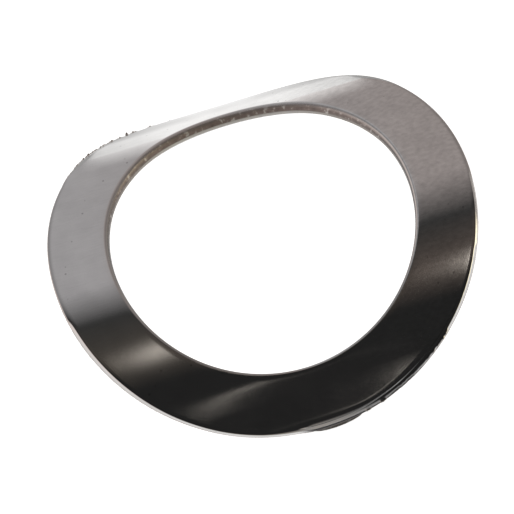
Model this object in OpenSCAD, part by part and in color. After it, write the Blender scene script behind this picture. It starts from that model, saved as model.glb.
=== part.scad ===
// Curved spring washer: one ring of spring strip, blanked flat, then bent
// over a single axis. The bend follows three tangent arcs. The part stands on
// its front and back ends, with the crown of the bend uppermost.

/* [Blank] */
// Outside diameter of the flat blank
outer_d = 19; // [17:0.1:26]
// Hole diameter of the flat blank
hole_d = 13.5; // [9:0.1:14.5]
// Thickness of the strip
strip_t = 0.5; // [0.3:0.05:0.8]

/* [Bend] */
// Mid-surface radius of the bend over the crown
crown_r = 16.5; // [12:0.1:40]
// Mid-surface radius of the bend at the front end
front_r = 4.2; // [3:0.1:12]
// Mid-surface radius of the bend at the back end
back_r = 5.5; // [4:0.1:12]
// Distance along the strip from the crown to where the front bend tightens
front_start = 7.9; // [5:0.1:8.2]
// Distance along the strip from the crown to where the back bend tightens
back_start = 5.3; // [3:0.1:8.2]

/* [Blanked edge] */
// Width of the rolled corner on the upper face along the rim
rim_roll_w = 0.3; // [0.1:0.01:0.4]
// Depth of the rolled corner along the rim
rim_roll_h = 0.07; // [0.04:0.01:0.1]
// Radius of the corner round the hole at the back, as a share of strip_t
hole_round_back = 0.6; // [0.1:0.05:0.65]
// Radius of the corner round the hole at the front, as a share of strip_t
hole_round_front = 0.2; // [0.1:0.05:0.65]
// Height of the smooth band of the outer wall under the rolled corner
smooth_h = 0.08; // [0.04:0.01:0.1]
// Height of the torn band at the foot of the wall
tear_h = 0.09; // [0.04:0.01:0.1]
// How far the torn band leans in at the foot of the wall
tear_w = 0.05; // [0.02:0.01:0.1]

/* [Torn lip] */
// Position of the torn lip round the blank, in degrees from the right
lip_at = 274; // [250:1:300]
// Length of the torn lip along the rim
lip_len = 2.2; // [1:0.1:3]
// How far the torn lip stands out of the wall
lip_w = 0.16; // [0.05:0.01:0.25]

/* [Burr teeth] */
// Height of the tallest burr tooth over the upper face
tooth_h = 0.11; // [0.03:0.01:0.2]
// Half width of a burr tooth, in degrees of rim
tooth_half = 1.5; // [1:0.5:3]

/* [Hidden] */

// Angle between sections where the rim is plain, and where it is rough
plain_step = 3;
rough_step = 1;
// Spans along the rolled corner of the rim, along the corner round the hole,
// and across each face
rim_spans = 3;
hole_spans = 5;
face_spans = 3;
// Rough stretches of the rim: first and last degree, multiples of plain_step
rough_parts = [[96, 138], [258, 291]];
// Burr teeth: place round the blank in degrees, and share of tooth_h
teeth = [[136, 0.3], [133, 0.5], [130, 0.7], [127, 0.7], [123, 0.6], [120, 0.3],
         [118, 1], [115, 0.5], [110, 0.5], [105, 0.3], [282, 0.4], [287, 0.5]];

outer_r = outer_d / 2;
hole_r = hole_d / 2;
half_t = strip_t / 2;
deg_per_rad = 180 / PI;

// Slope of the strip where the crown arc meets the front and back arcs
front_lean = deg_per_rad * front_start / crown_r;
back_lean = deg_per_rad * back_start / crown_r;

function on_front(s) = s < -front_start;
function on_back(s) = s > back_start;

// Slope of the strip at distance s along it, falling to the back when positive
function slope(s) =
    on_back(s) ? back_lean + deg_per_rad * (s - back_start) / back_r
    : on_front(s) ? -front_lean + deg_per_rad * (s + front_start) / front_r
    : deg_per_rad * s / crown_r;

function arc_r(s) = on_back(s) ? back_r : on_front(s) ? front_r : crown_r;

// Centre of the arc that holds distance s, from the centre of the crown arc
function arc_centre(s) =
    on_back(s) ? (crown_r - back_r) * [sin(back_lean), cos(back_lean)]
    : on_front(s) ? (crown_r - front_r) * [-sin(front_lean), cos(front_lean)]
    : [0, 0];

// A point of the flat blank, [x, s, h], carried onto the bent strip
function bent(p) =
    let (yz = arc_centre(p[1])
              + (arc_r(p[1]) + p[2]) * [sin(slope(p[1])), cos(slope(p[1]))])
    [p[0], yz[0], yz[1]];

// Where the two ends meet the ground, before the washer is set level
back_foot = bent([0, outer_r - tear_w, -half_t]);
front_foot = bent([0, tear_w - outer_r, -half_t]);
rest_lean = atan2(back_foot[2] - front_foot[2], back_foot[1] - front_foot[1]);

// A bent point with both ends level
function levelled(p) =
    [p[0], p[1] * cos(rest_lean) + p[2] * sin(rest_lean),
     p[2] * cos(rest_lean) - p[1] * sin(rest_lean)];

// Height of the burr at angle a, as a row of pointed teeth
function burr_at(a) =
    max([0, for (tooth = teeth)
        tooth_h * tooth[1] * (1 - abs(a - tooth[0]) / tooth_half)]);

// How far the torn lip stands out at angle a
lip_half = deg_per_rad * lip_len / 2 / outer_r;
function lip_out(a) = lip_w * sqrt(max(0, 1 - pow((a - lip_at) / lip_half, 2)));

// Corner of the blanked edge, from the face down to the wall: distance in
// from the wall, and height, with the burr raising its outer end
function rolled(w, h, burr, spans) = [
    for (i = [0:spans])
        let (a = 90 * i / spans,
             lift = burr > 0 ? (h + burr) * pow(i / spans, 2) : 0)
        [w * (1 - sin(a)), half_t - h * (1 - cos(a)) + lift]
];

// Torn band at the foot of both walls
torn_band = [[0, tear_h - half_t], [tear_w, -half_t]];

// Edge of the ring at the rim. The lip hangs out of the end of the smooth band
// and has gone where the torn band starts
function rim_edge(a) =
    concat(rolled(rim_roll_w, rim_roll_h, burr_at(a), rim_spans),
           [[-lip_out(a), half_t - rim_roll_h - smooth_h]],
           torn_band);

// The corner round the hole swells from the front to the back
function hole_round(a) =
    strip_t * (hole_round_front
               + (hole_round_back - hole_round_front) * (1 + sin(a)) / 2);

// Edge of the ring round the hole
function hole_edge(a) =
    concat(rolled(hole_round(a), hole_round(a), 0, hole_spans), torn_band);

// Section of the ring at angle a, [radius, height], clockwise from the hole
function section(a) =
    let (outside = rim_edge(a), inside = hole_edge(a),
         top_in = hole_r + hole_round(a), top_out = outer_r - rim_roll_w,
         foot_in = hole_r + tear_w, foot_out = outer_r - tear_w)
    concat(
        [for (i = [1:face_spans - 1])
            [top_in + (top_out - top_in) * i / face_spans, half_t]],
        [for (p = outside) [outer_r - p[0], p[1]]],
        [for (i = [1:face_spans - 1])
            [foot_out + (foot_in - foot_out) * i / face_spans, -half_t]],
        [for (i = [len(inside) - 1:-1:0])
            [hole_r + inside[i][0], inside[i][1]]]);

function is_rough(a) =
    len([for (part = rough_parts) if (a >= part[0] && a < part[1]) 1]) > 0;

section_angles = [
    for (a = [0:rough_step:360 - rough_step])
        if (is_rough(a) || a % plain_step == 0) a
];
section_count = len(section_angles);
side_count = len(section(0));

bent_points = [
    for (a = section_angles, p = section(a))
        levelled(bent([p[0] * cos(a), p[0] * sin(a), p[1]]))
];

// The origin: on the ground, under the middle of the washer
ground_z = min([for (p = bent_points) p[2]]);
middle_y = (min([for (p = bent_points) p[1]])
            + max([for (p = bent_points) p[1]])) / 2;

function corner(i, j) =
    (i % section_count) * side_count + j % side_count;

module washer() {
    color([0.72, 0.71, 0.7])
        translate([0, -middle_y, -ground_z])
            polyhedron(
                points = bent_points,
                faces = [
                    for (i = [0:section_count - 1], j = [0:side_count - 1],
                         face = [[corner(i, j), corner(i, j + 1), corner(i + 1, j + 1)],
                                 [corner(i, j), corner(i + 1, j + 1), corner(i + 1, j)]])
                        face
                ]);
}

washer();
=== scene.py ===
"""A curved spring washer of polished steel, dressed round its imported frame.

The washer is one ring: a flat blank with sheared edges, bent over one axis by three
tangent arcs. Its mesh is spun flat, roughened along the sheared edges and then carried
onto the bend. All sizes are in metres.
"""

import logging
import math
from dataclasses import dataclass, field
from enum import Enum

import bmesh
import bpy
from mathutils import Matrix, Vector, noise


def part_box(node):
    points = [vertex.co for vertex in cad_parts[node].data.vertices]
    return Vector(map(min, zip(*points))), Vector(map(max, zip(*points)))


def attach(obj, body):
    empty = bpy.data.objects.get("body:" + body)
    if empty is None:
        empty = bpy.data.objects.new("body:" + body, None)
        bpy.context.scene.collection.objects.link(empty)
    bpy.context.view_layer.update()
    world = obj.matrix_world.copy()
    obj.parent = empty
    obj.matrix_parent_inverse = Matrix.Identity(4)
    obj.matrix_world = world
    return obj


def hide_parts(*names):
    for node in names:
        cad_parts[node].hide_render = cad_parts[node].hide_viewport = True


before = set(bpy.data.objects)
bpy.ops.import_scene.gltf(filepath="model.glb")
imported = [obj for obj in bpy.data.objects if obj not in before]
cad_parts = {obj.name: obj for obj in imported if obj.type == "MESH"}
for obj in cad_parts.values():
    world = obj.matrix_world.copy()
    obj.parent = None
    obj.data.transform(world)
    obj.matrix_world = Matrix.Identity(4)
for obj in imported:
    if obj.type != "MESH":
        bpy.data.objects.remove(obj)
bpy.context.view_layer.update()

MM = 0.001
BODY = "root"
NODE = "washer"
SLOT = "spring_steel"

Socket = bpy.types.NodeSocket
Colour = tuple[float, float, float]
Stops = tuple[tuple[float, Colour], ...]
Range = tuple[float, float]
Stretch = tuple[float, float, float]
Tooth = tuple[float, float, float]
WHITE: Colour = (1.0, 1.0, 1.0)

log = logging.getLogger("washer")


class Band(Enum):
    """The bands of a blanked part, by the value that its mesh attribute holds."""

    FACE = 0.0
    ROLL = 1.0
    SMOOTH = 2.0
    TORN = 3.0


@dataclass(frozen=True)
class Bend:
    """The bend of the strip over the X axis: a crown arc between two tighter end arcs."""

    crown_r: float = 16.5 * MM
    front_r: float = 4.2 * MM
    back_r: float = 5.5 * MM
    front_start: float = 7.9 * MM
    back_start: float = 5.3 * MM

    def slope(self, along: float) -> float:
        """Gives the slope of the strip in radians, falling to the back when positive.

        Args:
            along: distance along the strip from the crown, positive to the back.

        Returns:
            The angle between the strip and the level.
        """
        if along > self.back_start:
            return self.back_start / self.crown_r + (along - self.back_start) / self.back_r
        if along < -self.front_start:
            return -self.front_start / self.crown_r + (along + self.front_start) / self.front_r
        return along / self.crown_r

    def arc(self, along: float) -> tuple[float, Vector]:
        """Finds the arc that holds a distance along the strip.

        Args:
            along: distance along the strip from the crown.

        Returns:
            The arc's radius, and its centre from the centre of the crown arc.
        """
        if along > self.back_start:
            radius, lean = self.back_r, self.slope(self.back_start)
        elif along < -self.front_start:
            radius, lean = self.front_r, self.slope(-self.front_start)
        else:
            radius, lean = self.crown_r, 0.0
        reach = self.crown_r - radius
        return radius, Vector((0.0, reach * math.sin(lean), reach * math.cos(lean)))

    def carry(self, blank: Vector) -> Vector:
        """Carries a point of the flat blank onto the bent strip.

        Args:
            blank: the point, with its height from the middle of the strip as z.

        Returns:
            The bent point, from the centre of the crown arc.
        """
        radius, centre = self.arc(blank.y)
        lean = self.slope(blank.y)
        out = radius + blank.z
        return Vector((blank.x, centre.y + out * math.sin(lean), centre.z + out * math.cos(lean)))


def rgba(colour: Colour) -> tuple[float, float, float, float]:
    """Gives a colour its alpha of 1."""
    return (*colour, 1.0)


def to_data(name: str, mesh: bmesh.types.BMesh) -> bpy.types.Mesh:
    """Writes a bmesh to a new mesh and frees it.

    Args:
        name: the mesh's name.
        mesh: the bmesh, which is gone afterwards.

    Returns:
        The mesh.
    """
    data = bpy.data.meshes.new(name)
    mesh.to_mesh(data)
    mesh.free()
    return data


def placed(name: str, data: bpy.types.ID) -> bpy.types.Object:
    """Makes an object of some data and links it into the scene.

    Args:
        name: the object's name.
        data: its mesh, light or camera.

    Returns:
        The object.
    """
    thing = bpy.data.objects.new(name, data)
    bpy.context.scene.collection.objects.link(thing)
    return thing


def window(angle_deg: float, start: float, end: float, ease: float) -> float:
    """Gives 1 between two angles, falling smoothly to 0 outside them.

    Args:
        angle_deg: the angle, in degrees.
        start: where the window starts.
        end: where it ends.
        ease: width of each soft end.

    Returns:
        A share from 0 to 1.
    """
    middle, half = (start + end) / 2, (end - start) / 2
    away = abs((angle_deg - middle + 180) % 360 - 180) - half
    share = min(1.0, max(0.0, 1 - away / ease))
    return share * share * (3 - 2 * share)


@dataclass(frozen=True)
class BlankedEdge:
    """A sheared edge: a rounded corner above, a smooth wall, and a torn foot."""

    radius: float
    outward: int
    tear_h: float
    grit: float
    smooth_h: float = 0.08 * MM
    tear_w: float = 0.05 * MM
    lean_in: float = 0.45
    corner_spans: int = 10
    crease_spans: int = 4
    smooth_spans: int = 2
    torn_spans: int = 3
    crease_w: float = 0.05 * MM
    facet_w: float = 0.12 * MM
    fade: float = 3.0
    smooth_most: float = 0.9
    calm: float = 3.0

    def corner(self, angle: float) -> tuple[float, float]:
        """Gives the width and depth of the rounded corner at an angle in radians."""
        raise NotImplementedError

    def crease(self, angle: float) -> float:
        """Gives the depth of the crease where the corner starts, at an angle in radians."""
        return 0.0

    def facet(self, angle: float) -> float:
        """Gives the depth of the flat facet that ends the corner, at an angle in radians."""
        return 0.0

    def points(self, half_t: float, angle: float) -> list[tuple[float, float, float]]:
        """Lists the section of the edge from the upper face down to the lower face.

        Args:
            half_t: half the thickness of the strip.
            angle: place round the blank, in radians.

        Returns:
            Radius, height and band of each point.
        """
        width, depth = self.corner(angle)
        crease, facet = self.crease(angle), self.facet(angle)
        rows = [(width, half_t, Band.FACE.value)]
        for step in range(1, self.crease_spans + 1):
            share = step / self.crease_spans
            far = share * self.crease_w / width
            drop = depth * (1 - math.sqrt(1 - far * far)) + crease * share * share * (3 - 2 * share)
            rows.append((width * (1 - far), half_t - drop, Band.FACE.value))
        first = math.asin(self.crease_w / width)
        for step in range(1, self.corner_spans + 1):
            share = step / self.corner_spans
            turn = first + (math.pi / 2 - first) * share
            inset = width * (1 - math.sin(turn))
            drop = depth * (1 - math.cos(turn)) + crease
            drop += facet * max(0.0, 1 - inset / self.facet_w)
            rows.append((inset, half_t - drop, Band.ROLL.value * share**self.fade))
        corner_foot = half_t - depth - crease - facet
        torn_head = self.tear_h - half_t
        smooth_h = min(self.smooth_h, (corner_foot - torn_head) * self.smooth_most)
        for step in range(1, self.smooth_spans + 1):
            height = corner_foot - smooth_h * step / self.smooth_spans
            rows.append((0.0, height, Band.SMOOTH.value))
        smooth_foot = corner_foot - smooth_h
        for step in range(1, self.torn_spans + 1):
            height = smooth_foot + (torn_head - smooth_foot) * step / self.torn_spans
            rows.append((0.0, height, Band.TORN.value))
        middle = (torn_head - half_t) / 2
        rows.append((self.tear_w * self.lean_in, middle, Band.TORN.value))
        rows.append((self.tear_w, -half_t, Band.TORN.value))
        return [(self.radius - self.outward * inset, height, band) for inset, height, band in rows]


@dataclass(frozen=True)
class RimEdge(BlankedEdge):
    """The edge along the rim, creased at the front and worn to a facet on either side of it.

    A stretch is given by its first degree, its last degree and the width of its soft ends.
    """

    outward: int = 1
    tear_h: float = 0.09 * MM
    grit: float = 0.012 * MM
    width: float = 0.30 * MM
    depth: float = 0.07 * MM
    pressed: float = 0.016 * MM
    worn_left: float = 0.10 * MM
    worn_right: float = 0.16 * MM
    thin_share: float = 0.45
    knotted_share: float = 0.4
    knot_share: float = 0.25
    knot_deg: float = 1.1
    creased_at: Stretch = (268, 316, 6)
    worn_left_at: Stretch = (196, 262, 6)
    knotted_at: Stretch = (292, 312, 4)
    worn_right_at: Stretch = (314, 334, 2.5)
    thin_at: Stretch = (336, 354, 4)

    def corner(self, angle: float) -> tuple[float, float]:
        """Gives the width and depth of the rounded corner at an angle in radians."""
        return self.width, self.depth

    def crease(self, angle: float) -> float:
        """Gives the depth of the crease where the corner starts, at an angle in radians."""
        angle_deg = math.degrees(angle) % 360
        return self.pressed * window(angle_deg, *self.creased_at)

    def facet(self, angle: float) -> float:
        """Gives the depth of the flat facet that ends the corner.

        Args:
            angle: place round the blank, in radians.

        Returns:
            The depth, with soft knots where the facet is knotted.
        """
        angle_deg = math.degrees(angle) % 360
        knots = 0.5 + noise.noise(Vector((angle_deg / self.knot_deg, 3.0, 0.0)))
        right = window(angle_deg, *self.worn_right_at)
        right *= 1 - self.knot_share + self.knot_share * knots
        thin = self.thin_share * window(angle_deg, *self.thin_at)
        thin += self.knotted_share * knots * window(angle_deg, *self.knotted_at)
        left = window(angle_deg, *self.worn_left_at)
        return self.worn_right * (right + thin) + self.worn_left * left


@dataclass(frozen=True)
class HoleEdge(BlankedEdge):
    """The edge round the hole, whose corner swells from the front to the back."""

    outward: int = -1
    tear_h: float = 0.13 * MM
    grit: float = 0.004 * MM
    front: float = 0.10 * MM
    back: float = 0.30 * MM
    fade: float = 1.3

    def corner(self, angle: float) -> tuple[float, float]:
        """Gives the width and depth of the rounded corner at an angle in radians."""
        swell = self.front + (self.back - self.front) * (1 + math.sin(angle)) / 2
        return swell, swell


@dataclass(frozen=True)
class TornLip:
    """A flake of steel that hangs out of the rim's wall."""

    at_deg: float = 274.0
    length: float = 2.2 * MM
    width: float = 0.16 * MM
    top_share: float = 1.01

    def out(self, angle_deg: float, rim_r: float) -> float:
        """Gives how far the lip stands out at an angle of the rim.

        Args:
            angle_deg: place round the blank, in degrees.
            rim_r: radius of the rim.

        Returns:
            The distance from the wall.
        """
        half = math.degrees(self.length / 2 / rim_r)
        share = (angle_deg - self.at_deg) / half
        return self.width * math.sqrt(max(0.0, 1 - share * share))


@dataclass(frozen=True)
class Burr:
    """The ragged teeth of burr that stand on the rim's upper corner.

    A tooth is given by its place in degrees, its share of the height and its half width.
    """

    height: float = 0.13 * MM
    even: float = 0.85
    ragged: float = 0.8
    jag_deg: float = 0.55
    full_rise: float = 0.04 * MM
    dark_lift: float = 0.02 * MM
    pinch: int = 7
    teeth: tuple[Tooth, ...] = (
        (143.0, 0.12, 3.5), (137.5, 0.22, 2.2), (134.5, 0.28, 1.9), (132.2, 0.38, 1.6),
        (129.6, 0.30, 2.0), (126.2, 0.30, 2.2), (123.2, 0.36, 1.5), (120.5, 0.24, 1.8),
        (117.8, 1.00, 0.5), (115.6, 0.34, 1.5), (110.2, 0.28, 2.0), (104.4, 0.22, 1.9),
        (98.2, 0.16, 1.2), (92.5, 0.16, 2.0), (84.0, 0.14, 1.0), (77.0, 0.10, 1.4),
        (67.0, 0.08, 1.2), (282.5, 0.25, 0.8), (287.0, 0.30, 0.9),
    )

    def rise(self, angle_deg: float) -> float:
        """Gives the height of the burr over the upper face at an angle of the rim.

        Args:
            angle_deg: place round the blank, in degrees.

        Returns:
            The height, and nought between the teeth.
        """
        best = 0.0
        for at_deg, share, half_deg in self.teeth:
            flank = 1 - abs(angle_deg - at_deg) / half_deg
            if flank > 0:
                best = max(best, share * math.sqrt(flank))
        jag = noise.noise(Vector((angle_deg / self.jag_deg, 0.0, 0.0)))
        return self.height * best * (self.even + self.ragged * jag)


@dataclass
class Washer:
    """The ring itself: its blank, its sheared edges, and the bend that they follow."""

    outer_d: float = 19.0 * MM
    hole_d: float = 13.5 * MM
    strip_t: float = 0.5 * MM
    bend: Bend = field(default_factory=Bend)
    lip: TornLip = field(default_factory=TornLip)
    burr: Burr = field(default_factory=Burr)
    face_spans: int = 10
    quarter_turns: int = 360
    grit_size: float = 0.12 * MM
    merge: float = 0.1e-6

    def __post_init__(self) -> None:
        """Works out the two sheared edges from the blank."""
        self.half_t = self.strip_t / 2
        self.rim = RimEdge(self.outer_d / 2)
        self.hole = HoleEdge(self.hole_d / 2)

    def section(self, angle: float) -> list[tuple[float, float, float]]:
        """Lists the closed section of the ring, clockwise from the hole's upper corner.

        Args:
            angle: place round the blank, in radians.

        Returns:
            Radius, height and band of each point.
        """
        rim = self.rim.points(self.half_t, angle)
        hole = self.hole.points(self.half_t, angle)
        upper = self.across(hole[0][0], rim[0][0], self.half_t)
        lower = self.across(rim[-1][0], hole[-1][0], -self.half_t)
        return upper + rim + lower + hole[::-1]

    def across(self, start: float, end: float, height: float) -> list[tuple[float, float, float]]:
        """Lists the points inside one flat face, from one edge towards the other.

        Args:
            start: radius where the face starts.
            end: radius where the face ends.
            height: height of the face.

        Returns:
            Radius, height and band of each point between the two ends.
        """
        spans = self.face_spans
        return [
            (start + (end - start) * step / spans, height, Band.FACE.value)
            for step in range(1, spans)
        ]

    def spin_blank(self) -> bmesh.types.BMesh:
        """Spins the section over a quarter turn and mirrors it into the whole blank.

        Returns:
            The flat blank, with each vertex's band and row in the section.
        """
        mesh = bmesh.new()
        band_of = mesh.verts.layers.float.new("band")
        row_of = mesh.verts.layers.int.new("row")
        corners = []
        for row, (radius, height, band) in enumerate(self.section(0.0)):
            corner = mesh.verts.new((radius, 0.0, height))
            corner[band_of] = band
            corner[row_of] = row
            corners.append(corner)
        for one, other in zip(corners, corners[1:] + corners[:1]):
            mesh.edges.new((one, other))
        bmesh.ops.spin(
            mesh, geom=mesh.verts[:] + mesh.edges[:], cent=(0, 0, 0), axis=(0, 0, 1),
            angle=math.pi / 2, steps=self.quarter_turns,
        )
        for axis in ("X", "Y"):
            bmesh.ops.mirror(
                mesh, geom=mesh.verts[:] + mesh.edges[:] + mesh.faces[:], axis=axis,
                merge_dist=self.merge,
            )
        bmesh.ops.recalc_face_normals(mesh, faces=mesh.faces[:])
        return mesh

    def shape_blank(self, mesh: bmesh.types.BMesh) -> None:
        """Gives each place round the blank its own section, with burr, lip and grit.

        Args:
            mesh: the flat blank, changed in place.
        """
        row_of = mesh.verts.layers.int["row"]
        band_of = mesh.verts.layers.float["band"]
        sections = {}
        for vert in mesh.verts:
            angle = math.atan2(vert.co.y, vert.co.x)
            turn = round(angle / (math.pi / 2) * self.quarter_turns)
            if turn not in sections:
                sections[turn] = self.section(angle)
            radius, height, band = sections[turn][vert[row_of]]
            outside = radius > (self.rim.radius + self.hole.radius) / 2
            angle_deg = math.degrees(angle) % 360
            if outside and Band.FACE.value < band <= Band.ROLL.value:
                lift = self.burr_lift(radius, angle_deg)
                height += lift
                if lift > self.burr.dark_lift:
                    vert[band_of] = Band.SMOOTH.value
            if band >= Band.SMOOTH.value:
                spot = Vector((radius * math.cos(angle), radius * math.sin(angle), height))
                edge = self.rim if outside else self.hole
                grit = edge.grit if band == Band.TORN.value else edge.grit / edge.calm
                radius += grit * noise.noise(spot / self.grit_size)
                if outside:
                    radius += self.lip_push(height, angle_deg)
            vert.co = (radius * math.cos(angle), radius * math.sin(angle), height)

    def burr_lift(self, radius: float, angle_deg: float) -> float:
        """Gives how far the burr lifts a point of the rim's corner.

        Args:
            radius: the point's radius.
            angle_deg: its place round the blank, in degrees.

        Returns:
            The lift over the plain corner.
        """
        rise = self.burr.rise(angle_deg)
        if rise <= 0:
            return 0.0
        inward = (self.rim.radius - radius) / self.rim.width
        filled = self.rim.depth * min(1.0, rise / self.burr.full_rise)
        return (filled + rise) * (1 - inward) ** self.burr.pinch

    def lip_push(self, height: float, angle_deg: float) -> float:
        """Gives how far the torn lip pushes out a point of the rim's wall.

        Args:
            height: the point's height from the middle of the strip.
            angle_deg: its place round the blank, in degrees.

        Returns:
            The distance, which falls to nought at the torn band.
        """
        smooth_foot = self.half_t - self.rim.depth - self.rim.smooth_h
        torn_head = self.rim.tear_h - self.half_t
        share = (height - torn_head) / (smooth_foot - torn_head)
        if not 0 <= share <= self.lip.top_share:
            return 0.0
        return self.lip.out(angle_deg, self.rim.radius) * share

    def bend_blank(self, mesh: bmesh.types.BMesh) -> None:
        """Carries the blank onto the bend and sets it level on its two ends.

        Args:
            mesh: the flat blank, changed in place.
        """
        blank_of = mesh.verts.layers.float_vector.new("blank")
        for vert in mesh.verts:
            vert[blank_of] = vert.co
            vert.co = self.bend.carry(vert.co)
        reach = self.rim.radius - self.rim.tear_w
        back = self.bend.carry(Vector((0.0, reach, -self.half_t)))
        front = self.bend.carry(Vector((0.0, -reach, -self.half_t)))
        lean = math.atan2(back.z - front.z, back.y - front.y)
        level = Matrix.Rotation(-lean, 3, "X")
        bmesh.ops.rotate(mesh, verts=mesh.verts[:], cent=(0, 0, 0), matrix=level)
        low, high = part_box(NODE)
        ground = (level @ back).z - low.z
        ends = [vert.co.y for vert in mesh.verts]
        middle = (min(ends) + max(ends)) / 2 - (low.y + high.y) / 2
        bmesh.ops.translate(mesh, verts=mesh.verts[:], vec=(0.0, -middle, -ground))

    def build(self) -> bpy.types.Object:
        """Builds the ring and sets it in the place of its CAD node.

        Returns:
            The washer's object.
        """
        mesh = self.spin_blank()
        self.shape_blank(mesh)
        self.bend_blank(mesh)
        for face in mesh.faces:
            face.smooth = True
        piece = placed("washer_ring", to_data("washer_ring", mesh))
        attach(piece, BODY)
        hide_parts(NODE)
        log.info("%s: %d vertices", piece.name, len(piece.data.vertices))
        return piece


class NodeTree:
    """A short way to write a node tree: makes nodes, sets sockets and links them."""

    def __init__(self, tree: bpy.types.NodeTree) -> None:
        """Empties the tree.

        Args:
            tree: the node tree to fill.
        """
        self.tree = tree
        tree.nodes.clear()

    def add(self, kind: str, inputs: dict | None = None, **settings: object) -> bpy.types.Node:
        """Adds a node.

        Args:
            kind: the node's type name.
            inputs: socket values or links, by socket name or number.
            settings: the node's own properties.

        Returns:
            The new node.
        """
        node = self.tree.nodes.new(kind)
        for name, value in settings.items():
            setattr(node, name, value)
        for key, value in (inputs or {}).items():
            if isinstance(value, Socket):
                self.tree.links.new(value, node.inputs[key])
            else:
                node.inputs[key].default_value = value
        return node

    def math(self, operation: str, *values: object) -> Socket:
        """Adds a Math node and gives its result.

        Args:
            operation: the Math node's operation.
            values: numbers or sockets, in order.

        Returns:
            The output socket.
        """
        node = self.add("ShaderNodeMath", dict(enumerate(values)), operation=operation)
        return node.outputs[0]

    def span(self, value: Socket, start: float, end: float, smooth: bool = False) -> Socket:
        """Adds a clamped Map Range to 0..1.

        Args:
            value: the socket to map.
            start: value that gives 0.
            end: value that gives 1.
            smooth: eases both ends.

        Returns:
            The result socket.
        """
        easing = "SMOOTHSTEP" if smooth else "LINEAR"
        node = self.add(
            "ShaderNodeMapRange", {"Value": value, "From Min": start, "From Max": end},
            interpolation_type=easing,
        )
        return node.outputs["Result"]

    def noise(self, place: Socket, scale: float, detail: float) -> Socket:
        """Adds a Noise Texture.

        Args:
            place: where to read the noise.
            scale: its scale.
            detail: its detail.

        Returns:
            A socket from 0 to 1.
        """
        node = self.add("ShaderNodeTexNoise", {"Vector": place, "Scale": scale, "Detail": detail})
        return node.outputs["Fac"]

    def place(self, vector: Socket) -> list[Socket]:
        """Splits a vector into its X, Y and Z."""
        return list(self.add("ShaderNodeSeparateXYZ", {0: vector}).outputs)

    def ramp(self, factor: Socket, stops: Stops) -> Socket:
        """Adds a Color Ramp.

        Args:
            factor: the socket that drives it.
            stops: positions and colours, in order.

        Returns:
            The colour socket.
        """
        node = self.add("ShaderNodeValToRGB", {"Fac": factor})
        elements = node.color_ramp.elements
        while len(elements) < len(stops):
            elements.new(0.5)
        for element, (position, colour) in zip(elements, stops):
            element.position = position
            element.color = rgba(colour)
        return node.outputs["Color"]

    def blend(self, factor: object, one: object, other: object, mode: str = "MIX") -> Socket:
        """Adds a colour Mix node.

        Args:
            factor: share of the second colour, a number or a socket.
            one: the first colour or socket.
            other: the second colour or socket.
            mode: the node's blend type.

        Returns:
            The colour socket.
        """
        node = self.add(
            "ShaderNodeMix", {0: factor, 6: one, 7: other}, data_type="RGBA", blend_type=mode
        )
        return node.outputs[2]


@dataclass(frozen=True)
class SurfaceMasks:
    """Sockets from 0 to 1 that tell the parts of the washer's surface apart."""

    corner: Socket
    wall: Socket
    hole: Socket
    dull: Socket
    # The far side of the hole's wall, where a pale reflection is painted.
    clean: Socket
    mottle: Socket


@dataclass(frozen=True)
class Streaks:
    """Fine streaks that run one way over the face, by direction in radians and scale."""

    turn: float
    scale: Range
    strength: float
    detail: float = 3.0

    def shift(self, net: NodeTree, blank: Socket) -> Socket:
        """Makes the streaks.

        Args:
            net: the steel's node tree.
            blank: place on the flat blank.

        Returns:
            How far they shift the tone, above and below nought.
        """
        turned = net.add(
            "ShaderNodeMapping",
            {"Vector": blank, "Rotation": (0.0, 0.0, self.turn), "Scale": (*self.scale, 1.0)},
        ).outputs[0]
        return net.math("SUBTRACT", net.noise(turned, 1.0, self.detail), 0.5)


@dataclass(frozen=True)
class Specks:
    """Rare round specks: cells to a metre, share of cells with one, and radius in cells."""

    scale: float
    share: float
    size: float
    strength: float
    soft: float = 0.01

    def mask(self, net: NodeTree, blank: Socket) -> Socket:
        """Makes the specks.

        Args:
            net: the steel's node tree.
            blank: place on the flat blank.

        Returns:
            A socket that is 1 in a speck.
        """
        cells = net.add("ShaderNodeTexVoronoi", {"Vector": blank, "Scale": self.scale}).outputs
        pick = net.add("ShaderNodeSeparateColor", {0: cells["Color"]}).outputs[0]
        rare = net.span(pick, 1 - self.share, 1 - self.share + self.soft)
        hit = net.span(cells["Distance"], self.size, self.size * 0.5)
        return net.math("MULTIPLY", hit, rare)


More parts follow.
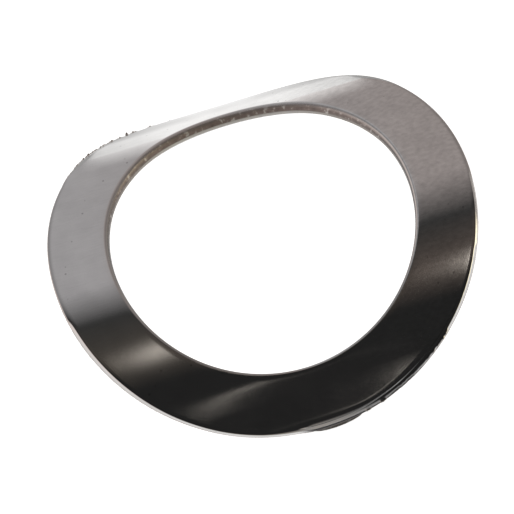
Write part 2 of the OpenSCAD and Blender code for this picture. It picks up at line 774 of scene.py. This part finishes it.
@dataclass(frozen=True)
class SpringSteel:
    """Polished spring steel, with fine grain and scratches, and dark rough shearing.

    A noise is given by its scale and its detail, and a range by the values that give 0 and 1.
    """

    polished: Colour = (0.72, 0.71, 0.70)
    corner: Colour = (0.60, 0.55, 0.52)
    # Painted shade: near black, for the rounded corner round the hole.
    hole_corner_shade: Colour = (0.13, 0.12, 0.115)
    sheared: Colour = (0.42, 0.38, 0.35)
    # Pale flecks; also the painted reflection on the hole's far wall and the far corner's pale
    # spots.
    fleck: Colour = (0.78, 0.76, 0.73)
    # A warm tint mottled over the far side of the hole's corner.
    far_corner_tint: Colour = (0.42, 0.34, 0.31)
    face_rough: float = 0.065
    corner_rough: float = 0.20
    dull_rough: float = 0.62
    wall_rough: float = 0.50
    dull_metal: float = 0.38
    hole_reach: Range = (7.5 * MM, 7.2 * MM)
    worn_reach: Range = (1 * MM, 6 * MM)
    dull_reach: Range = (1.0 * MM, 5.8 * MM)
    # Where along the blank the reflection on the hole's far wall is painted.
    reflection_reach: Range = (4.5 * MM, 6.3 * MM)
    corner_bands: Range = (0.02, 0.6)
    wall_bands: Range = (1.2, 1.9)
    # Bands of the hole's far wall that take the painted reflection.
    reflection_bands: Range = (1.7, 2.0)
    fleck_mottle: Range = (0.52, 0.62)
    far_pale_mottle: Range = (0.57, 0.66)
    wall_flecks: float = 0.7
    hole_flecks: float = 0.2
    far_mottling: float = 1.6
    mottle: Range = (4200.0, 4.0)
    patches: Range = (900.0, 4.0)
    patch_dark: float = 0.86
    patch_depth: float = 0.24
    grain: Range = (22000.0, 1.0)
    grain_h: float = 0.25e-6
    wall_grain: float = 6.0
    worn: Streaks = Streaks(turn=-0.62, scale=(3600.0, 5600.0), strength=0.5)
    fine: Streaks = Streaks(turn=1.15, scale=(1300.0, 15000.0), strength=0.10)
    pits: Specks = Specks(scale=1500.0, share=0.30, size=0.09, strength=0.34)
    dust: Specks = Specks(scale=3100.0, share=0.16, size=0.14, strength=0.22)

    def tone(self, net: NodeTree, blank: Socket) -> Socket:
        """Makes the uneven tone of the face: worn patches, fine streaks and specks.

        Args:
            net: the steel's node tree.
            blank: place on the flat blank.

        Returns:
            A grey to multiply the face's colour by.
        """
        patch = net.noise(blank, *self.patches)
        patch = net.math("MULTIPLY_ADD", patch, self.patch_depth, self.patch_dark)
        right = net.span(net.place(blank)[0], *self.worn_reach)
        wear = net.math("MULTIPLY", self.worn.shift(net, blank), right)
        line = net.math("MULTIPLY", self.fine.shift(net, blank), self.fine.strength)
        streaks = net.math("MULTIPLY_ADD", wear, self.worn.strength, line)
        tone = net.math("ADD", patch, streaks)
        dust = net.math("MULTIPLY", self.dust.mask(net, blank), self.dust.strength)
        dark = net.math("MULTIPLY_ADD", self.pits.mask(net, blank), self.pits.strength, dust)
        return net.math("MULTIPLY", tone, net.math("SUBTRACT", 1.0, dark))

    def masks(self, net: NodeTree, blank: Socket) -> SurfaceMasks:
        """Tells the corner, the wall, the hole's edge, its dull far side and its painted reflection
        apart.

        Args:
            net: the steel's node tree.
            blank: place on the flat blank.

        Returns:
            The masks.
        """
        band = net.add("ShaderNodeAttribute", attribute_name="band").outputs["Fac"]
        reach = net.add("ShaderNodeVectorMath", {0: blank}, operation="LENGTH").outputs["Value"]
        hole = net.span(reach, *self.hole_reach)
        along = net.place(blank)[1]
        # The far side of the hole, where its wall gets a painted reflection.
        far = net.math("MULTIPLY", net.span(along, *self.reflection_reach), hole)
        return SurfaceMasks(
            corner=net.span(band, *self.corner_bands),
            wall=net.span(band, *self.wall_bands),
            hole=hole,
            dull=net.math("MULTIPLY", net.span(along, *self.dull_reach), hole),
            clean=net.math("MULTIPLY", net.span(band, *self.reflection_bands), far),
            mottle=net.noise(blank, *self.mottle),
        )

    def colour(self, net: NodeTree, blank: Socket, masks: SurfaceMasks) -> Socket:
        """Colours the face, corners and flecked wall, and paints shade and a reflection by the
        hole.

        Args:
            net: the steel's node tree.
            blank: place on the flat blank.
            masks: the parts of the surface.

        Returns:
            The colour socket.
        """
        face = net.blend(1.0, rgba(self.polished), self.tone(net, blank), "MULTIPLY")
        colour = net.blend(masks.corner, face, rgba(self.corner))
        colour = net.blend(masks.wall, colour, rgba(self.sheared))
        fewer = self.hole_flecks - self.wall_flecks
        fleck_share = net.math("MULTIPLY_ADD", masks.hole, fewer, self.wall_flecks)
        fleck = net.span(masks.mottle, *self.fleck_mottle)
        flecks = net.math("MULTIPLY", fleck, fleck_share)
        # Pale flecks on the wall, and a painted reflection on the far side of the hole's wall.
        light = net.math("MULTIPLY", masks.wall, net.math("MAXIMUM", masks.clean, flecks))
        colour = net.blend(light, colour, rgba(self.fleck))
        above = net.math("MULTIPLY", masks.corner, net.math("SUBTRACT", 1.0, masks.wall))
        # Painted shade: the hole's rounded corner is coloured near black.
        colour = net.blend(net.math("MULTIPLY", masks.hole, above), colour, rgba(self.hole_corner_shade))
        # The far side of the hole's corner is mottled with a warm tint and with pale spots.
        far_mottling = net.math("MULTIPLY", masks.dull, net.math("MULTIPLY", masks.mottle, self.far_mottling))
        far_mottling = net.math("MULTIPLY", far_mottling, above)
        colour = net.blend(far_mottling, colour, rgba(self.far_corner_tint))
        far_pale_spots = net.math("MULTIPLY", net.span(masks.mottle, *self.far_pale_mottle), far_mottling)
        return net.blend(far_pale_spots, colour, rgba(self.fleck))

    def roughness(self, net: NodeTree, masks: SurfaceMasks) -> Socket:
        """Makes the corners and the wall rougher than the face.

        Args:
            net: the steel's node tree.
            masks: the parts of the surface.

        Returns:
            The roughness socket.
        """
        more = self.dull_rough - self.corner_rough
        corner = net.math("MULTIPLY_ADD", masks.dull, more, self.corner_rough)
        gap = net.math("SUBTRACT", corner, self.face_rough)
        edge = net.math("MULTIPLY_ADD", masks.corner, gap, self.face_rough)
        rest = net.math("SUBTRACT", self.wall_rough, edge)
        return net.math("MULTIPLY_ADD", masks.wall, rest, edge)

    def material(self) -> bpy.types.Material:
        """Builds the steel.

        Returns:
            The material.
        """
        steel = bpy.data.materials.new(SLOT)
        steel.use_nodes = True
        net = NodeTree(steel.node_tree)
        blank = net.add("ShaderNodeAttribute", attribute_name="blank").outputs["Vector"]
        masks = self.masks(net, blank)
        coarser = net.math("MULTIPLY_ADD", masks.wall, self.wall_grain, 1.0)
        height = net.math("MULTIPLY", net.noise(blank, *self.grain), coarser)
        bump = net.add(
            "ShaderNodeBump", {"Height": height, "Strength": 1.0, "Distance": self.grain_h}
        ).outputs["Normal"]
        dull_corner = net.math("MULTIPLY", masks.dull, masks.corner)
        shader = net.add("ShaderNodeBsdfPrincipled", {
            "Base Color": self.colour(net, blank, masks),
            "Metallic": net.math("MULTIPLY_ADD", dull_corner, self.dull_metal - 1.0, 1.0),
            "Roughness": self.roughness(net, masks),
            "Normal": bump,
        })
        net.add("ShaderNodeOutputMaterial", {"Surface": shader.outputs[0]})
        return steel


def squared_offset(net: NodeTree, value: Socket, middle: float, spread: float) -> Socket:
    """Measures how far a value lies from a middle, in spreads, squared.

    Args:
        net: the node tree.
        value: the socket to measure.
        middle: where the result is nought.
        spread: distance that gives one.

    Returns:
        The squared distance.
    """
    away = net.math("MULTIPLY_ADD", value, 1 / spread, -middle / spread)
    return net.math("MULTIPLY", away, away)


def bell(net: NodeTree, squared: Socket, power: object) -> Socket:
    """Turns a squared distance into a soft light.

    Args:
        net: the node tree.
        squared: the squared distance.
        power: brightness in the middle, a number or a socket.

    Returns:
        The brightness socket.
    """
    fall = net.math("MULTIPLY", squared, -1.0)
    return net.math("MULTIPLY", net.math("EXPONENT", fall), power)


@dataclass(frozen=True)
class SoftSpot:
    """A soft light, placed by its angle from the zenith and its share along X."""

    turn_deg: float
    across: float
    turn_spread: float
    across_spread: float
    power: float

    def glow(self, net: NodeTree, turn: Socket, across: Socket) -> Socket:
        """Makes the light.

        Args:
            net: the world's node tree.
            turn: angle from the zenith, in degrees.
            across: share of the direction along X.

        Returns:
            The brightness socket.
        """
        one = squared_offset(net, turn, self.turn_deg, self.turn_spread)
        other = squared_offset(net, across, self.across, self.across_spread)
        return bell(net, net.math("ADD", one, other), self.power)


@dataclass(frozen=True)
class RoundedRing:
    """A faint rounded ring of light over the front, brighter at its left and right ends."""

    turn_deg: float = 34.0
    across: float = 0.0485
    upper: float = 10.0
    lower: float = 26.0
    half_width: float = 0.038
    squareness: float = 4.0
    line: float = 0.05
    power: float = 0.45
    right_power: float = 2.2
    rest_power: float = 0.010
    end_reach: Range = (0.2, 0.85)
    left_turn: Range = (32.0, 27.0)
    right_turn: Range = (29.0, 36.0)
    right_fade: Range = (75.0, 40.0)

    def glow(self, net: NodeTree, turn: Socket, across: Socket) -> Socket:
        """Makes the ring.

        Args:
            net: the world's node tree.
            turn: angle from the zenith, in degrees.
            across: share of the direction along X.

        Returns:
            The brightness socket.
        """
        middle, width = self.turn_deg, self.half_width
        below = net.math("MULTIPLY_ADD", turn, 1 / self.lower, -middle / self.lower)
        above = net.math("MULTIPLY_ADD", turn, -1 / self.upper, middle / self.upper)
        tall = net.math("ADD", net.math("MAXIMUM", below, 0.0), net.math("MAXIMUM", above, 0.0))
        beside = net.math("MULTIPLY_ADD", across, 1 / width, -self.across / width)
        wide = net.math("POWER", net.math("ABSOLUTE", beside), self.squareness)
        reach = net.math("ADD", net.math("POWER", tall, self.squareness), wide)
        reach = net.math("POWER", reach, 1 / self.squareness)
        near, far = self.end_reach
        left_end, right_end = net.span(beside, -near, -far), net.span(beside, near, far)
        left = net.math("MULTIPLY", left_end, net.span(turn, *self.left_turn))
        right = net.math("MULTIPLY", right_end, net.span(turn, *self.right_turn))
        right = net.math("MULTIPLY", right, net.span(turn, *self.right_fade))
        ends = net.math("MULTIPLY_ADD", right, self.right_power, left)
        power = net.math("MULTIPLY_ADD", ends, self.power, self.rest_power)
        return bell(net, squared_offset(net, reach, 1.0, self.line), power)


@dataclass(frozen=True)
class Room:
    """The room that the steel mirrors, by the angle from the zenith towards the front.

    A range is given by the values that give 0 and 1. The white card is centred on axis.
    """

    reach_deg: float = 110.0
    axis: float = 0.047
    left: Stops = (
        (-22, (0.45, 0.44, 0.45)),
        (-10, (0.04, 0.04, 0.04)),
        (5, (0.08, 0.07, 0.06)),
        (15, (0.02, 0.02, 0.02)),
        (72, (0.02, 0.02, 0.02)),
        (80, (0.50, 0.45, 0.40)),
    )
    right: Stops = (
        (-25, (0.38, 0.34, 0.33)),
        (-10, (0.04, 0.04, 0.04)),
        (5, (0.10, 0.08, 0.07)),
        (15, (0.02, 0.02, 0.02)),
        (72, (0.02, 0.02, 0.02)),
        (80, (0.30, 0.30, 0.30)),
    )
    card: Stops = (
        (-90, (0.65, 0.65, 0.65)),
        (-70, (0.0, 0.0, 0.0)),
    )
    card_edge: Stops = (
        (0.02, (1.0, 1.0, 1.0)),
        (0.05, (0.6, 0.6, 0.6)),
        (0.055, (0.0, 0.0, 0.0)),
        (0.35, (0.0, 0.0, 0.0)),
        (0.50, (0.8, 0.8, 0.8)),
    )
    left_side: Colour = (0.95, 0.87, 0.84)
    right_front: Colour = (1.9, 1.72, 1.3)
    right_back: Colour = (0.42, 0.39, 0.37)
    warm: Colour = (1.0, 0.93, 0.84)
    sides_meet: Range = (-0.02, 0.114)
    dim_reach: Range = (0.14, 0.42)
    dimming: float = 0.30
    far_reach: Range = (0.55, 0.85)
    far_left_right: Range = (-0.5, 0.5)
    far_back_front: Range = (0.06, -0.10)
    lights: tuple[SoftSpot | RoundedRing, ...] = (
        SoftSpot(turn_deg=4.8, across=-0.001, turn_spread=3.2, across_spread=0.0065, power=0.80),
        SoftSpot(turn_deg=5.5, across=-0.012, turn_spread=3.6, across_spread=0.0065, power=0.06),
        SoftSpot(turn_deg=6.0, across=0.135, turn_spread=3.0, across_spread=0.014, power=1.0),
        RoundedRing(),
    )

    def by_angle(self, net: NodeTree, turn: Socket, stops: Stops) -> Socket:
        """Colours the room by the angle from the zenith.

        Args:
            net: the world's node tree.
            turn: the angle in degrees, positive towards the front.
            stops: angles and colours.

        Returns:
            The colour socket.
        """
        share = net.math("MULTIPLY_ADD", turn, 0.5 / self.reach_deg, 0.5)
        shares = tuple((angle / self.reach_deg / 2 + 0.5, tint) for angle, tint in stops)
        return net.ramp(share, shares)

    def far_sides(self, net: NodeTree, across: Socket, along: Socket) -> Socket:
        """Colours the pale walls far to the left and right.

        Args:
            net: the world's node tree.
            across: share of the direction along X.
            along: share of the direction along Y.

        Returns:
            The colour socket.
        """
        front = net.span(along, *self.far_back_front)
        right = net.blend(front, rgba(self.right_back), rgba(self.right_front))
        return net.blend(net.span(across, *self.far_left_right), rgba(self.left_side), right)

    def colour(self, net: NodeTree) -> Socket:
        """Puts the room together.

        Args:
            net: the world's node tree.

        Returns:
            The room's colour by direction.
        """
        across, along, up = net.place(net.add("ShaderNodeTexCoord").outputs["Generated"])
        forward = net.math("MULTIPLY", along, -1.0)
        turn = net.math("MULTIPLY", net.math("ARCTAN2", forward, up), 180 / math.pi)
        side = net.span(across, *self.sides_meet)
        walls = net.blend(
            side, self.by_angle(net, turn, self.left), self.by_angle(net, turn, self.right)
        )
        away = net.math("ABSOLUTE", net.math("SUBTRACT", across, self.axis))
        card = self.by_angle(net, turn, self.card)
        card = net.blend(1.0, card, net.ramp(away, self.card_edge), "MULTIPLY")
        lit = net.blend(1.0, walls, card, "ADD")
        dim = net.math("MULTIPLY_ADD", net.span(away, *self.dim_reach, True), -self.dimming, 1.0)
        lit = net.blend(1.0, lit, dim, "MULTIPLY")
        far = net.span(away, *self.far_reach, True)
        lit = net.blend(far, lit, self.far_sides(net, across, along))
        for light in self.lights:
            glow = light.glow(net, turn, across)
            tint = net.add("ShaderNodeCombineColor", {0: glow, 1: glow, 2: glow}).outputs[0]
            lit = net.blend(1.0, lit, net.blend(1.0, tint, rgba(self.warm), "MULTIPLY"), "ADD")
        return lit


@dataclass(frozen=True)
class Studio:
    """A plain pale floor, a large soft lamp, and the room round them.

    The lit values say how bright the steel sees the floor. Behind the part, a white card's
    mirror image is added to behind_lit: near_edge close by, and card_lit further out. In the
    front shade, foot_lit is added to shade_lit close to the part.
    """

    floor_size: float = 1.2
    floor_glow: float = 0.92
    floor_lit: float = 0.9
    behind_lit: float = 0.43
    card_lit: float = 0.76
    foot_lit: float = 0.15
    shade_lit: float = 0.06
    floor_grey: float = 0.8
    behind_reach: Range = (6.5 * MM, 7.5 * MM)
    card_from: float = 7 * MM
    card_widening: float = 8.9
    card_scale: float = 8.4
    card_far: Range = (9.3 * MM, 13.5 * MM)
    foot_reach: Range = (-9.8 * MM, -9.0 * MM)
    shade_near: Range = (-7.8 * MM, -8.8 * MM)
    shade_far: Range = (-40 * MM, -14 * MM)
    shade_left: Range = (-1.2 * MM, -0.4 * MM)
    shade_right: Range = (9.5 * MM, 7.5 * MM)
    near_edge: Stops = (
        (0.01, (0.6, 0.6, 0.6)),
        (0.04, (0.15, 0.15, 0.15)),
        (0.05, (0.0, 0.0, 0.0)),
    )
    lamp_size: float = 0.5
    lamp_power: float = 0.25
    lamp_place: tuple[float, float, float] = (-0.1, 0.15, 0.4)
    room: Room = field(default_factory=Room)

    def world(self) -> None:
        """Makes the world: white to the camera, and the room to all other rays."""
        world = bpy.data.worlds.new("studio")
        bpy.context.scene.world = world
        world.use_nodes = True
        net = NodeTree(world.node_tree)
        ray = net.add("ShaderNodeLightPath").outputs
        seen = net.blend(ray["Is Camera Ray"], self.room.colour(net), rgba(WHITE))
        light = net.add("ShaderNodeBackground", {"Color": seen, "Strength": 1.0})
        net.add("ShaderNodeOutputWorld", {"Surface": light.outputs[0]})

    def floor_behind(self, net: NodeTree, across: Socket, along: Socket) -> Socket:
        """Gives how bright the steel sees the floor behind the part.

        Args:
            net: the floor's node tree.
            across: place along X.
            along: place along Y.

        Returns:
            The brightness socket.
        """
        beyond = net.math("MAXIMUM", net.math("SUBTRACT", along, self.card_from), 0.0)
        drift = net.math("MULTIPLY", beyond, self.room.axis)
        spread = net.math("MULTIPLY_ADD", beyond, self.card_widening, 1.0)
        middle = net.math("DIVIDE", net.math("SUBTRACT", across, drift), spread)
        away = net.math("MULTIPLY", net.math("ABSOLUTE", middle), self.card_scale)
        far_edge = net.math("MULTIPLY", net.ramp(away, self.room.card_edge), self.card_lit)
        near_edge = net.ramp(away, self.near_edge)
        far = net.span(along, *self.card_far, True)
        edge = net.math("MULTIPLY_ADD", far, net.math("SUBTRACT", far_edge, near_edge), near_edge)
        return net.math("ADD", edge, self.behind_lit)

    def front_shade(self, net: NodeTree, across: Socket, along: Socket) -> Socket:
        """Gives where the floor before the part lies in shade.

        Args:
            net: the floor's node tree.
            across: place along X.
            along: place along Y.

        Returns:
            A socket from 0 to 1.
        """
        near, far = net.span(along, *self.shade_near, True), net.span(along, *self.shade_far, True)
        left = net.span(across, *self.shade_left, True)
        right = net.span(across, *self.shade_right, True)
        shade = net.math("MULTIPLY", net.math("MULTIPLY", near, far), left)
        return net.math("MULTIPLY", shade, right)

    def mirrored_floor(self, net: NodeTree) -> Socket:
        """Gives how bright the steel sees the floor: lit behind, shaded before the part.

        Args:
            net: the floor's node tree.

        Returns:
            The brightness socket.
        """
        across, along, _ = net.place(net.add("ShaderNodeTexCoord").outputs["Object"])
        behind = net.span(along, *self.behind_reach, True)
        change = net.math("SUBTRACT", self.floor_behind(net, across, along), self.floor_lit)
        floor = net.math("MULTIPLY_ADD", behind, change, self.floor_lit)
        foot = net.span(along, *self.foot_reach)
        dark = net.math("MULTIPLY_ADD", foot, self.foot_lit, self.shade_lit)
        fall = net.math("SUBTRACT", dark, floor)
        return net.math("MULTIPLY_ADD", self.front_shade(net, across, along), fall, floor)

    def floor_material(self) -> bpy.types.Material:
        """Makes the pale floor's material, which glows to the camera and shows a shadow.

        Returns:
            The material.
        """
        pale = bpy.data.materials.new("pale_floor")
        pale.use_nodes = True
        net = NodeTree(pale.node_tree)
        ray = net.add("ShaderNodeLightPath").outputs
        direct = net.math("MAXIMUM", ray["Is Camera Ray"], ray["Is Transmission Ray"])
        shown = net.math("MULTIPLY", direct, self.floor_glow)
        mirrored = net.math("MULTIPLY", ray["Is Glossy Ray"], self.mirrored_floor(net))
        glow = net.math("MAXIMUM", shown, mirrored)
        shine = net.add("ShaderNodeEmission", {"Color": rgba(WHITE), "Strength": glow}).outputs[0]
        grey = (self.floor_grey,) * 3
        matt = net.add("ShaderNodeBsdfDiffuse", {"Color": rgba(grey)}).outputs[0]
        both = net.add("ShaderNodeAddShader", {0: shine, 1: matt}).outputs[0]
        plain = net.add("ShaderNodeMixShader", {0: ray["Is Glossy Ray"], 1: both, 2: shine})
        net.add("ShaderNodeOutputMaterial", {"Surface": plain.outputs[0]})
        return pale

    def floor(self) -> bpy.types.Object:
        """Lays the floor.

        Returns:
            The floor's object.
        """
        mesh = bmesh.new()
        bmesh.ops.create_grid(mesh, x_segments=1, y_segments=1, size=self.floor_size / 2)
        floor = placed("floor", to_data("floor", mesh))
        floor.data.materials.append(self.floor_material())
        return floor

    def lamp(self) -> bpy.types.Object:
        """Hangs one large soft lamp over and behind the part, for the floor's shadow.

        Returns:
            The lamp's object.
        """
        data = bpy.data.lights.new("soft_lamp", "AREA")
        data.shape = "RECTANGLE"
        data.size, data.size_y = self.lamp_size, self.lamp_size
        data.energy = self.lamp_power
        lamp = placed("soft_lamp", data)
        lamp.location = self.lamp_place
        lamp.rotation_euler = Vector(self.lamp_place).to_track_quat("Z", "Y").to_euler()
        lamp.visible_glossy = False
        return lamp


@dataclass(frozen=True)
class Stand:
    """The camera on its stand, in front of the part and above it."""

    distance: float = 120.0 * MM
    elevation: float = 60.0
    azimuth: float = -4.91
    roll: float = 12.62
    lens: float = 189.9
    sensor: float = 36.0
    clip_near: float = 0.005
    clip_far: float = 10.0
    target: tuple[float, float, float] = (-0.540 * MM, -0.486 * MM, 1.8 * MM)

    def camera(self) -> bpy.types.Object:
        """Sets up the camera.

        Returns:
            The camera's object.
        """
        rise, turn = math.radians(self.elevation), math.radians(self.azimuth)
        back = Vector((
            math.sin(turn) * math.cos(rise), -math.cos(turn) * math.cos(rise), math.sin(rise)
        ))
        right = Vector((math.cos(turn), math.sin(turn), 0.0))
        up = back.cross(right)
        tilt = math.radians(self.roll)
        side = math.cos(tilt) * right - math.sin(tilt) * up
        head = math.sin(tilt) * right + math.cos(tilt) * up
        data = bpy.data.cameras.new("camera")
        data.sensor_width = self.sensor
        data.lens = self.lens
        data.clip_start, data.clip_end = self.clip_near, self.clip_far
        camera = placed("camera", data)
        turned = Matrix((side, head, back)).transposed()
        place = Matrix.Translation(Vector(self.target) + self.distance * back)
        camera.matrix_world = place @ turned.to_4x4()
        bpy.context.scene.camera = camera
        return camera


def main() -> None:
    """Builds the washer and its studio."""
    logging.basicConfig(level=logging.INFO)
    Stand().camera()
    washer = Washer().build()
    washer.data.materials.append(SpringSteel().material())
    studio = Studio()
    studio.world()
    studio.floor()
    studio.lamp()
    bpy.context.scene.view_settings.view_transform = "Standard"


if __name__ == "__main__":
    main()
